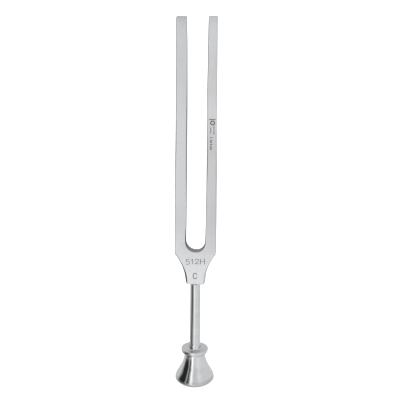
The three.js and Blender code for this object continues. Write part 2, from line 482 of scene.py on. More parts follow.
# pitch marks stamped in the yoke: the frequency and the note, one groove per stroke (half width, depth, points)
STAMPED = [
    (0.10, 0.07, [(-2.52, 40.13), (-2.1, 40.16), (-1.68, 40.16)]),                                     # 5
    (0.12, 0.10, [(-2.55, 40.1), (-2.57, 39.75), (-2.58, 39.42)]),
    (0.10, 0.07, [(-2.55, 39.42), (-2.2, 39.56), (-1.82, 39.5), (-1.6, 39.18), (-1.66, 38.85), (-1.95, 38.62), (-2.3, 38.6), (-2.6, 38.76)]),
    (0.13, 0.12, [(-0.74, 40.24), (-0.745, 39.5), (-0.75, 38.76)]),                                    # 1
    (0.09, 0.07, [(-1.19, 39.9), (-0.98, 40.03), (-0.8, 40.18)]),
    (0.11, 0.08, [(0.0, 39.9), (0.14, 40.16), (0.5, 40.28), (0.88, 40.19), (1.0, 39.9), (0.84, 39.58), (0.5, 39.27), (0.05, 38.86)]),  # 2
    (0.11, 0.08, [(0.02, 38.83), (0.5, 38.83), (1.08, 38.86)]),
    (0.13, 0.12, [(1.53, 40.36), (1.535, 39.6), (1.54, 38.82)]),                                       # H
    (0.13, 0.12, [(2.72, 40.42), (2.715, 39.6), (2.70, 38.86)]),
    (0.08, 0.06, [(1.6, 39.62), (2.1, 39.63), (2.65, 39.65)]),
    (0.13, 0.12, [(0.46, 35.42), (0.32, 35.72), (0.0, 35.86), (-0.34, 35.7), (-0.5, 35.35), (-0.54, 34.98), (-0.49, 34.6), (-0.3, 34.27), (0.03, 34.13), (0.34, 34.27), (0.47, 34.56)]),  # C
]
for i, (half, depth, line) in enumerate(STAMPED):
    cut(head, stamped_stroke(f"cutter_stroke_{i}", smooth_line(line, 3 if len(line) == 3 else 40), half * (0.88 if i < 10 else 1.0), depth * (0.75 if i < 10 else 1.0)))


def ring_outline(cx, cz, r, n=40):
    return [(cx + r * math.cos(2 * math.pi * k / n), cz + r * math.sin(2 * math.pi * k / n)) for k in range(n)]


def bar_outline(x0, x1, z0, z1):
    return [(x0, z0), (x1, z0), (x1, z1), (x0, z1)]


# shallow etched trim on the right prong: a bar over a plain ring, then fine ruled lines and ticks
ETCH = 0.03
etched = [
    prism("etch_bar", bar_outline(3.62, 5.43, 81.98, 82.2), ETCH),
    prism("etch_ring", ring_outline(4.62, 81.1, 0.68), ETCH, ring_outline(4.62, 81.1, 0.4)),
]
lines = [(5.0, 80.2, 79.55), (5.0, 79.4, 79.0), (5.0, 78.85, 77.85), (4.1, 79.8, 79.3), (4.1, 79.15, 78.6), (4.1, 78.45, 78.1)]
for i, (x, z1, z0) in enumerate(lines):
    etched.append(prism(f"etch_line_{i}", bar_outline(x - 0.11, x + 0.11, z0, z1), ETCH))
ticks = [(3.85, 4.7, 76.95, 0.08), (3.95, 4.5, 76.2, 0.1), (3.95, 4.5, 75.85, 0.1), (3.95, 4.5, 75.5, 0.1), (3.95, 4.55, 74.95, 0.12),
         (3.9, 4.4, 74.4, 0.09), (4.0, 4.5, 74.1, 0.09), (3.9, 4.4, 73.8, 0.09), (4.0, 4.5, 73.45, 0.09)]
for i, (x0, x1, z, h) in enumerate(ticks):
    etched.append(prism(f"etch_tick_{i}", bar_outline(x0, x1, z - h, z + h), ETCH))
cut(head, join_objects("cutter_etch", etched))

bore = lathe("cutter_bore", [(0, YOKE_END - 1), (HEAD_BORE_R, YOKE_END - 1), (HEAD_BORE_R, HEAD_BORE_TOP), (0, HEAD_BORE_TOP + 0.3)], 48)
cut(head, bore)

# ------------------------------------------------------------------ stem with its collar
# well rounded below, a tight corner above
rim = [(COLLAR_R - 0.46 + 0.46 * math.cos(a), COLLAR_UNDER + 0.52 + 0.52 * math.sin(a)) for a in np.linspace(-math.pi / 2, 0, 25)]
rim += [(COLLAR_R - 0.12 + 0.12 * math.cos(a), COLLAR_TOP - 0.12 + 0.12 * math.sin(a)) for a in np.linspace(0, math.pi / 2, 9)]
fillet = bezier((2.15, COLLAR_TOP), (1.76, COLLAR_TOP + 0.01), (STEM_FOOT_R + 0.015, COLLAR_TOP + 0.26), (STEM_FOOT_R, STEM_FILLET_TOP), 32)
stem_profile = (
    [(0, SPIGOT_LOW_END), (SPIGOT_LOW_R - 0.2, SPIGOT_LOW_END), (SPIGOT_LOW_R, SPIGOT_LOW_END + 0.2), (SPIGOT_LOW_R, COLLAR_UNDER)]
    + [(2.6, COLLAR_UNDER)] + rim + [(2.9, COLLAR_TOP)]
    + [tuple(p) for p in fillet]
    + [(STEM_FOOT_R + (STEM_TOP_R - STEM_FOOT_R) * t, STEM_FILLET_TOP + (STEM_SHOULDER - 0.12 - STEM_FILLET_TOP) * t) for t in (0.1, 0.25, 0.4, 0.55, 0.7, 0.85, 0.97, 0.99, 1.0)]
    + [(STEM_TOP_R - 0.12 * (1 - math.cos(a)), STEM_SHOULDER - 0.12 + 0.12 * math.sin(a)) for a in np.linspace(0, math.pi / 2, 6)[1:]]
    + [(SPIGOT_TOP_R, STEM_SHOULDER), (SPIGOT_TOP_R, SPIGOT_TOP_END - 0.2), (SPIGOT_TOP_R - 0.2, SPIGOT_TOP_END), (0, SPIGOT_TOP_END)]
)
stem = lathe("stem_fine", stem_profile, 160)
for v in stem.data.vertices:            # the shaft and the head stand a hair to one side of the collar's axis
    v.co.x += -0.03 + 0.07 * max(0.0, min(1.0, (v.co.z - COLLAR_TOP) / 0.5))

# ------------------------------------------------------------------ foot
lip = bezier((FOOT_BASE_R, 0), (FOOT_BASE_R + 0.60, 0), (FOOT_MAX_R, FOOT_MAX_Z * 0.70), (FOOT_MAX_R, FOOT_MAX_Z), 28)
flare = bezier((FOOT_MAX_R, FOOT_MAX_Z), (FOOT_MAX_R, FOOT_MAX_Z + 2.01), (FOOT_NECK_R, FOOT_TOP - 4.6), (FOOT_NECK_R, FOOT_TOP - 0.12), 64)
foot_profile = (
    [(0, 0)] + [(r, 0) for r in (1.0, 2.0, 3.0)] + [tuple(p) for p in lip] + [tuple(p) for p in flare[1:]]
    + [(FOOT_NECK_R - 0.1 * (1 - math.cos(a)), FOOT_TOP - 0.12 + 0.12 * math.sin(a)) for a in np.linspace(0, math.pi / 2, 6)[1:]]
    + [(FOOT_BORE_R, FOOT_TOP), (FOOT_BORE_R, FOOT_BORE_END), (0, FOOT_BORE_END - 0.6)]
)
foot = lathe("foot_fine", foot_profile, 192)

for ob in (head, stem, foot):
    ob.data.transform(Matrix.Scale(MM, 4))
    ob.data.update()
    sharp_by_angle(ob.data, 32)

wn = head.modifiers.new("even_normals", "WEIGHTED_NORMAL")
wn.keep_sharp = True
wn.weight = 60


# ------------------------------------------------------------------ materials
def new_material(name):
    m = bpy.data.materials.new(name)
    m.use_nodes = True
    nt = m.node_tree
    nt.nodes.clear()
    out = nt.nodes.new("ShaderNodeOutputMaterial")
    bsdf = nt.nodes.new("ShaderNodeBsdfPrincipled")
    nt.links.new(bsdf.outputs[0], out.inputs[0])
    return m, nt, bsdf


def node(nt, kind, **values):
    n = nt.nodes.new(kind)
    for k, v in values.items():
        if k in n.inputs:
            n.inputs[k].default_value = v
        else:
            setattr(n, k, v)
    return n


def noise(nt, vector, scale, detail=2.0, rough=0.5, dist=0.0):
    n = node(nt, "ShaderNodeTexNoise", Scale=scale, Detail=detail, Roughness=rough, Distortion=dist)
    nt.links.new(vector, n.inputs["Vector"])
    return n.outputs["Fac"]


def mapping(nt, scale, rot=(0, 0, 0), loc=(0, 0, 0)):
    tc = nt.nodes.new("ShaderNodeTexCoord")
    mp = node(nt, "ShaderNodeMapping")
    mp.inputs["Scale"].default_value = scale
    mp.inputs["Rotation"].default_value = rot
    mp.inputs["Location"].default_value = loc
    nt.links.new(tc.outputs["Object"], mp.inputs["Vector"])
    return mp.outputs["Vector"]


def ramp(nt, fac, stops):
    r = nt.nodes.new("ShaderNodeValToRGB")
    e = r.color_ramp.elements
    while len(e) < len(stops):
        e.new(0.5)
    for el, (pos, col) in zip(e, stops):
        el.position = pos
        el.color = (*col, 1) if len(col) == 3 else col
    nt.links.new(fac, r.inputs[0])
    return r.outputs[0]


def remap(nt, value, a, b, c, d):
    m = nt.nodes.new("ShaderNodeMapRange")
    for k, v in zip(("From Min", "From Max", "To Min", "To Max"), (a, b, c, d)):
        m.inputs[k].default_value = v
    nt.links.new(value, m.inputs["Value"])
    return m.outputs["Result"]


def math_node(nt, op, a, b=None, c=None):
    m = nt.nodes.new("ShaderNodeMath")
    m.operation = op
    for i, v in enumerate((a, b, c)):
        if v is None:
            continue
        if isinstance(v, (int, float)):
            m.inputs[i].default_value = v
        else:
            nt.links.new(v, m.inputs[i])
    return m.outputs[0]


def mix_color(nt, fac, a, b):
    m = nt.nodes.new("ShaderNodeMix")
    m.data_type = "RGBA"
    for sock, v in ((m.inputs[0], fac), (m.inputs[6], a), (m.inputs[7], b)):
        if isinstance(v, (int, float)):
            sock.default_value = v
        elif isinstance(v, tuple):
            sock.default_value = (*v, 1) if len(v) == 3 else v
        else:
            nt.links.new(v, sock)
    return m.outputs[2]


def bump(nt, height, distance, strength=1.0, normal=None):
    b = node(nt, "ShaderNodeBump", Strength=strength, Distance=distance)
    nt.links.new(height, b.inputs["Height"])
    if normal is not None:
        nt.links.new(normal, b.inputs["Normal"])
    return b.outputs["Normal"]


def satin_steel(name, low, high, rough_lo, rough_hi, grain=1.0, tone_of=None, edge_tint=1.0):
    m, nt, bsdf = new_material(name)
    bsdf.inputs["Metallic"].default_value = 1.0
    bsdf.inputs["Specular Tint"].default_value = (edge_tint, edge_tint, edge_tint, 1)
    # long hair-line grain along the prongs, a finer random blast over it, and slow smudges
    hair = noise(nt, mapping(nt, (7000, 7000, 200)), 1.0, 4.0, 0.62)
    hair2 = noise(nt, mapping(nt, (21000, 21000, 900), loc=(3, 1, 7)), 1.0, 3.0, 0.6)
    blast = noise(nt, mapping(nt, (6500, 6500, 6500)), 1.0, 3.0, 0.6)
    smudge = noise(nt, mapping(nt, (260, 260, 90), loc=(2, 5, 1)), 1.0, 4.0, 0.55, 0.4)
    tone = math_node(nt, "ADD", math_node(nt, "MULTIPLY", hair, 0.3), math_node(nt, "MULTIPLY", smudge, 0.3))
    tone = math_node(nt, "ADD", tone, math_node(nt, "MULTIPLY", blast, 0.4))
    col = ramp(nt, tone, [(0.36, low), (0.64, high)])
    if tone_of is not None:
        col = tone_of(nt, col)
    nt.links.new(col, bsdf.inputs["Base Color"])
    r = math_node(nt, "ADD", math_node(nt, "MULTIPLY", hair2, 0.6), math_node(nt, "MULTIPLY", smudge, 0.4))
    nt.links.new(remap(nt, r, 0.3, 0.7, rough_lo, rough_hi), bsdf.inputs["Roughness"])
    n1 = bump(nt, hair, 0.000012, 0.55 * grain)
    n2 = bump(nt, hair2, 0.000006, 0.45 * grain, n1)
    n3 = bump(nt, blast, 0.000010, 0.4 * grain, n2)
    nt.links.new(n3, bsdf.inputs["Normal"])
    return m


def object_axes(nt):
    tc = nt.nodes.new("ShaderNodeTexCoord")
    sep = nt.nodes.new("ShaderNodeSeparateXYZ")
    nt.links.new(tc.outputs["Object"], sep.inputs[0])
    return sep.outputs


def scale_color(nt, col, factor):
    m = nt.nodes.new("ShaderNodeVectorMath")
    m.operation = "SCALE"
    nt.links.new(col, m.inputs[0])
    nt.links.new(factor, m.inputs["Scale"])
    return m.outputs[0]


def along(nt, value, stops, lo, hi):
    """Smooth factor (up to 2) along a length: stops are (position in millimetres, factor), listed upwards."""
    fac = remap(nt, value, lo * MM, hi * MM, 0.0, 1.0)
    return math_node(nt, "MULTIPLY", ramp(nt, fac, [((p - lo) / (hi - lo), (v / 2,) * 3) for p, v in stops]), 2.0)


def mix_value(nt, fac, a, b):
    """a where fac is 0, b where it is 1."""
    return math_node(nt, "ADD", math_node(nt, "MULTIPLY", a, math_node(nt, "SUBTRACT", 1.0, fac)), math_node(nt, "MULTIPLY", b, fac))


# painted light: brightness factors by height for the front faces of the yoke and of each prong, and for the rounded
# edges
YOKE_LIGHT_PAINTED = [(32.4, 1.10), (33.2, 1.125), (35.4, 1.145), (37.3, 1.105), (41.0, 1.045)]
FACE_LIGHT_PAINTED_L = YOKE_LIGHT_PAINTED + [
    (42.8, 1.015), (45.0, 1.0), (47.2, 0.983), (49.0, 0.948), (52.0, 0.923), (55.0, 0.919), (58.0, 0.95), (61.0, 0.964), (66.0, 0.97),
    (73.0, 0.975), (78.8, 0.98), (84.5, 0.965), (87.5, 0.94), (91.0, 0.922), (95.7, 0.91), (98.5, 0.90), (104.0, 0.90), (106.7, 0.895),
    (108.3, 0.863), (109.2, 0.835), (109.6, 0.80), (110.4, 0.79),
]
FACE_LIGHT_PAINTED_R = YOKE_LIGHT_PAINTED + [
    (42.8, 0.955), (45.0, 0.922), (47.2, 0.925), (49.0, 0.891), (52.0, 0.872), (55.0, 0.886), (58.0, 0.905), (63.0, 0.897), (70.0, 0.90),
    (73.0, 0.88), (76.5, 0.89), (79.5, 0.945), (84.5, 0.996), (87.3, 0.945), (90.0, 0.909), (92.9, 0.925), (95.7, 0.907), (98.5, 0.917),
    (101.5, 0.942), (106.7, 0.957), (108.3, 0.945), (109.3, 0.90), (110.4, 0.885),
]
EDGE_LIGHT_PAINTED_L = [(45.0, 1.0), (58.0, 1.0), (61.0, 0.92), (67.0, 0.80), (73.0, 0.72), (76.0, 0.62), (79.0, 0.62), (87.0, 0.70), (90.0, 0.82), (95.7, 1.05), (101.0, 1.45), (108.0, 1.5)]
EDGE_LIGHT_PAINTED_R = [(45.0, 1.0), (49.0, 0.9), (52.0, 0.8), (58.0, 0.75), (61.0, 0.7), (64.0, 0.65), (67.0, 0.6), (70.0, 0.65), (73.0, 0.8), (76.0, 0.85), (80.0, 1.0), (108.0, 1.0)]

EDGE_LIGHT_PAINTED_MID = [(44.0, 0.60), (45.0, 0.35), (46.0, 0.6), (47.0, 1.0), (61.0, 1.0), (64.5, 0.75), (67.0, 0.48), (70.0, 0.50), (73.0, 0.80), (76.0, 1.05),
            (79.0, 1.20), (82.0, 1.10), (84.5, 1.0), (87.0, 1.10), (90.0, 1.20), (93.0, 1.25), (96.0, 1.1), (100.0, 1.0)]


def painted_light_tone(nt, col):
    """Painted light along the bar: painted reflection and shade make the prongs uneven, the tips and long edges duller,
    the yoke brightest.
    """
    x, y, z = object_axes(nt)
    side = remap(nt, x, 0.0005, 0.0030, 0.0, 1.0)
    face = mix_value(nt, side, along(nt, z, FACE_LIGHT_PAINTED_L, 32.0, 111.0), along(nt, z, FACE_LIGHT_PAINTED_R, 32.0, 111.0))
    tc = nt.nodes.new("ShaderNodeTexCoord")
    sep = nt.nodes.new("ShaderNodeSeparateXYZ")
    nt.links.new(tc.outputs["Normal"], sep.inputs[0])
    # painted highlight: faces that look upwards, at the prongs' tips, are made brighter than the front faces
    face = math_node(nt, "MULTIPLY", face, math_node(nt, "MULTIPLY_ADD", remap(nt, sep.outputs[2], 0.6, 0.9, 0.0, 1.0), 0.42, 1.0))
    # painted reflection and shade on the rounded long edges, by height
    away_l = math_node(nt, "MULTIPLY", remap(nt, sep.outputs[0], -0.1, -0.6, 0.0, 1.0), remap(nt, sep.outputs[0], -0.96, -0.995, 1.0, 0.5))
    away_r = math_node(nt, "MULTIPLY", remap(nt, sep.outputs[0], 0.1, 0.6, 0.0, 1.0), remap(nt, sep.outputs[0], 0.96, 0.995, 1.0, 0.5))
    edge_l = mix_value(nt, away_l, 1.0, along(nt, z, EDGE_LIGHT_PAINTED_L, 44.0, 111.0))
    edge_r = mix_value(nt, away_r, 1.0, along(nt, z, EDGE_LIGHT_PAINTED_R, 44.0, 111.0))
    inner = math_node(nt, "MULTIPLY", side, away_l)
    edge_r = math_node(nt, "MULTIPLY", edge_r, mix_value(nt, inner, 1.0, along(nt, z, EDGE_LIGHT_PAINTED_MID, 43.0, 111.0)))
    # fine mottling left by the blast, strongest low on the head
    mottle = noise(nt, mapping(nt, (2900, 2900, 2900), loc=(4, 2, 6)), 1.0, 1.0, 0.5)
    amount = remap(nt, z, 0.044, 0.056, 0.34, 0.07)
    speck = math_node(nt, "ADD", 1.0, math_node(nt, "MULTIPLY", math_node(nt, "SUBTRACT", mottle, 0.5), amount))
    return scale_color(nt, col, math_node(nt, "MULTIPLY", math_node(nt, "MULTIPLY", face, speck), math_node(nt, "MULTIPLY", edge_l, edge_r)))


# painted shade and painted reflection on the slot walls by height, and across the slot's round end
PAINTED_LIGHT_LEFT_WALL = [(44.0, 0.55), (45.0, 0.28), (46.0, 0.18), (47.2, 0.22), (49.0, 0.50), (50.5, 1.1), (52.0, 1.70), (55.0, 1.95), (58.0, 1.85), (61.0, 1.55),
          (67.0, 1.05), (70.0, 0.90), (73.0, 0.96), (78.8, 0.80), (84.5, 0.98), (87.3, 1.15), (90.0, 1.41), (93.0, 1.54), (95.7, 1.64), (101.0, 1.72), (108.0, 1.80)]
PAINTED_LIGHT_RIGHT_WALL = [(44.0, 0.32), (45.0, 0.20), (46.0, 0.30), (47.2, 0.55), (49.0, 0.75), (52.0, 0.90), (58.0, 1.0), (80.0, 1.05), (108.0, 1.15)]
SLOT_END_PAINTED_SHADE = [(-2.8, 0.62), (-2.3, 0.80), (-1.6, 0.93), (-0.6, 0.90), (0.1, 0.84), (0.5, 1.05), (1.2, 1.15), (1.9, 1.04), (2.4, 0.68), (2.8, 0.42)]


def painted_slot_light(nt, col):
    """Painted shade in the slot: dark round its end and low on the walls, with painted reflections lighter up the
    prongs.
    """
    x, y, z = object_axes(nt)
    side = remap(nt, x, -0.0005, 0.0005, 0.0, 1.0)
    wall = mix_value(nt, side, along(nt, z, PAINTED_LIGHT_LEFT_WALL, 43.0, 111.0), along(nt, z, PAINTED_LIGHT_RIGHT_WALL, 43.0, 111.0))
    end = along(nt, x, SLOT_END_PAINTED_SHADE, -3.0, 3.0)
    return scale_color(nt, col, mix_value(nt, remap(nt, z, 0.0450, 0.0438, 0.0, 1.0), wall, end))


def painted_rim_shade(nt, col):
    """Painted shade all round the foot's lower rim, darkest in a band just above the table."""
    z = object_axes(nt)[2]
    return scale_color(nt, col, along(nt, z, [(0.0, 0.94), (1.45, 0.90), (1.7, 0.84), (1.9, 0.74), (2.2, 0.74), (2.5, 0.88), (3.0, 1.0)], 0.0, 12.0))


def polished_nickel(name, low, high, tone_of=None, corner=None, top=None):
    m, nt, bsdf = new_material(name)
    bsdf.inputs["Metallic"].default_value = 1.0
    smudge = noise(nt, mapping(nt, (330, 330, 330), loc=(1, 4, 2)), 1.0, 4.0, 0.6, 0.5)
    # fine rings left by turning and buffing, and the slow waviness of a buffed surface
    turn = noise(nt, mapping(nt, (120, 120, 9000)), 1.0, 3.0, 0.6)
    wave = noise(nt, mapping(nt, (420, 420, 300), loc=(7, 3, 5)), 1.0, 1.0, 0.4)
    scratch = noise(nt, mapping(nt, (2500, 16000, 2500), rot=(0.6, 0.3, 0.9)), 1.0, 4.0, 0.7)
    col = ramp(nt, smudge, [(0.35, low), (0.65, high)])
    if tone_of is not None:
        col = tone_of(nt, col)
    nt.links.new(col, bsdf.inputs["Base Color"])
    r = math_node(nt, "ADD", math_node(nt, "MULTIPLY", smudge, 0.6), math_node(nt, "MULTIPLY", scratch, 0.4))
    rough = remap(nt, r, 0.35, 0.7, 0.05, 0.11)
    if corner is not None:      # the mop does not reach right into the corner under the collar
        rough = math_node(nt, "ADD", rough, remap(nt, object_axes(nt)[2], corner[0] * MM, corner[1] * MM, 0.0, 0.08))
    if top is not None:         # the collar's top is left as turned
        z = object_axes(nt)[2]
        rough = math_node(nt, "ADD", rough, math_node(nt, "MULTIPLY", remap(nt, z, (top - 0.2) * MM, (top - 0.05) * MM, 0.0, 0.34),
                                                      remap(nt, z, (top + 0.1) * MM, (top + 0.4) * MM, 1.0, 0.0)))
    nt.links.new(rough, bsdf.inputs["Roughness"])
    n1 = bump(nt, wave, 0.00004, 0.35)
    n2 = bump(nt, turn, 0.000002, 0.3, n1)
    n3 = bump(nt, scratch, 0.0000015, 0.25, n2)
    nt.links.new(n3, bsdf.inputs["Normal"])
    return m


m_satin = satin_steel("satin_steel", (0.548, 0.554, 0.566), (0.632, 0.637, 0.649), 0.30, 0.42, tone_of=painted_light_tone, edge_tint=0.72)
# slot walls: milled steel with its base colour darkened, painted shade in the slot
m_painted_shade_milled = satin_steel("milled_steel_painted_shade", (0.30, 0.307, 0.318), (0.42, 0.428, 0.44), 0.34, 0.48, 1.4, tone_of=painted_slot_light, edge_tint=0.45)
# stamped grooves: darker base colour, painted shade in the recesses
m_painted_shade_stamp = satin_steel("stamped_steel_painted_shade", (0.27, 0.272, 0.28), (0.38, 0.383, 0.39), 0.45, 0.6, 1.0, edge_tint=0.6)
m_etch = satin_steel("etched_steel", (0.045, 0.045, 0.048), (0.10, 0.10, 0.104), 0.5, 0.65, 1.0, edge_tint=0.3)
m_nickel = polished_nickel("polished_nickel", (0.565, 0.570, 0.580), (0.615, 0.620, 0.630), top=COLLAR_TOP)
m_foot = polished_nickel("polished_nickel_foot", (0.565, 0.570, 0.580), (0.615, 0.620, 0.630), painted_rim_shade, corner=(8.4, 9.6))


def painted_flank_shade(nt, col):
    """The turned flank, its left side darkened by painted shade."""
    return scale_color(nt, col, remap(nt, object_axes(nt)[0], -0.001, 0.001, 0.45, 1.0))


m_turned = satin_steel("turned_steel", (0.53, 0.537, 0.55), (0.61, 0.617, 0.63), 0.12, 0.20, 0.5, tone_of=painted_flank_shade, edge_tint=0.7)

for m in (m_satin, m_painted_shade_milled, m_painted_shade_stamp, m_etch, m_turned):
    head.data.materials.append(m)
stem.data.materials.append(m_nickel)
foot.data.materials.append(m_foot)

# which faces of the head are slot walls, stamped marks or etched marks
for p in head.data.polygons:
    c, n = p.center / MM, p.normal
    p.material_index = 0
    # turned flank under the bar's corners
    if c.z < 41.9 and abs(c.x) > 1.9 and abs(n.y) < 0.975 and abs(n.x) > 0.12:
        p.material_index = 4
    # slot side of the prongs, with its rounded edges
    half_way = 4.3 if c.z < 106 else 4.0
    if SLOT_BOTTOM - 0.02 < c.z < TIP_L - 0.15 and abs(c.x) < half_way and abs(n.y) < 0.985 and abs(n.z) < 0.9:
        p.material_index = 1
    if c.z < 46 and c.z > SLOT_BOTTOM - 0.12 and abs(c.x - 0.115) < 3.0 and abs(n.y) < 0.985:
        p.material_index = 1
    # the stamped grooves take the darker material, painted shade in the recesses
    sunk = -HALF_T + 0.004 < c.y < -HALF_T + 0.2
    if sunk and ((38.4 < c.z < 40.65 and -2.8 < c.x < 2.95) or (33.9 < c.z < 36.1 and abs(c.x) < 0.75)):
        p.material_index = 2
    if 73.2 < c.z < 82.4 and 3.5 < c.x < 5.45 and -HALF_T + 0.002 < c.y < -HALF_T + ETCH + 0.002:
        p.material_index = 3

for ob, name, slot_name in ((head, "fork_head", "satin_steel"), (stem, "stem", "polished_nickel"), (foot, "foot", "polished_nickel")):
    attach(ob, "root")
    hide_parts(name)

# ------------------------------------------------------------------ studio
def stage_material(name, color, rough=0.9, emission=None):
    m, nt, bsdf = new_material(name)
    bsdf.inputs["Base Color"].default_value = (*color, 1)
    bsdf.inputs["Roughness"].default_value = rough
    bsdf.inputs["Specular IOR Level"].default_value = 0.0
    if emission is not None:
        bsdf.inputs["Emission Color"].default_value = (1, 1, 1, 1)
        bsdf.inputs["Emission Strength"].default_value = emission
    return m


def panel(name, corners, material, camera=False):
    """A flat card given by four corners in millimetres."""
    ob = mesh_object(name, corners, [(0, 1, 2, 3)], smooth=False)
    ob.data.transform(Matrix.Scale(MM, 4))
    ob.data.materials.append(material)
    ob.visible_camera = camera
    return ob


S = 4000
floor = panel("floor", [(-S, -S, 0), (S, -S, 0), (S, S, 0), (-S, S, 0)], stage_material("floor_paper", (0.45, 0.45, 0.45), emission=0.92), camera=True)
floor.visible_glossy = False

# plain pale wall all round and a lid over it, for the camera only: the metal sees the tent instead
R_WALL, H_WALL, N_WALL = 3900, 4200, 48
ring = [(R_WALL * math.cos(2 * math.pi * k / N_WALL), R_WALL * math.sin(2 * math.pi * k / N_WALL)) for k in range(N_WALL)]
wall = mesh_object(
    "backdrop", [(x, y, -1) for x, y in ring] + [(x, y, H_WALL) for x, y in ring] + [(0, 0, H_WALL)],
    [(k, (k + 1) % N_WALL, N_WALL + (k + 1) % N_WALL, N_WALL + k) for k in range(N_WALL)]
    + [(N_WALL + k, N_WALL + (k + 1) % N_WALL, 2 * N_WALL) for k in range(N_WALL)],
)
wall.data.transform(Matrix.Scale(MM, 4))
wall.data.materials.append(stage_material("backdrop_paper", (0.45, 0.45, 0.45), emission=1.0))
wall.visible_glossy = wall.visible_diffuse = wall.visible_shadow = wall.visible_transmission = False

# the studio around the fork, as light by direction: white tent, black flag to the left with a bright strip beside it
world = bpy.data.worlds.new("studio")
bpy.context.scene.world = world
world.use_nodes = True
wt = world.node_tree
bg = wt.nodes["Background"]
tc = wt.nodes.new("ShaderNodeTexCoord")
sep = wt.nodes.new("ShaderNodeSeparateXYZ")
wt.links.new(tc.outputs["Generated"], sep.inputs[0])
sx, sy, sz = sep.outputs
azimuth = math_node(wt, "ARCTAN2", sx, math_node(wt, "MULTIPLY", sy, -1.0))       # 0 towards the front, + to the right
elevation = math_node(wt, "ARCSINE", sz)
az_deg = math_node(wt, "MULTIPLY", azimuth, 180 / math.pi)
el_deg = math_node(wt, "MULTIPLY", elevation, 180 / math.pi)


def band(stops, lo=-180.0, hi=180.0):
    """Light level around the horizon as a ramp of (azimuth, level) stops; levels up to 2."""
    fac = remap(wt, az_deg, lo, hi, 0.0, 1.0)
    r = wt.nodes.new("ShaderNodeValToRGB")
    e = r.color_ramp.elements
    while len(e) < len(stops):
        e.new(0.5)
    for el, (a, v) in zip(e, stops):
        el.position = (a - lo) / (hi - lo)
        el.color = (v / 2, v / 2, v / 2, 1)
    wt.links.new(fac, r.inputs[0])
    return math_node(wt, "MULTIPLY", r.outputs[0], 2.0)


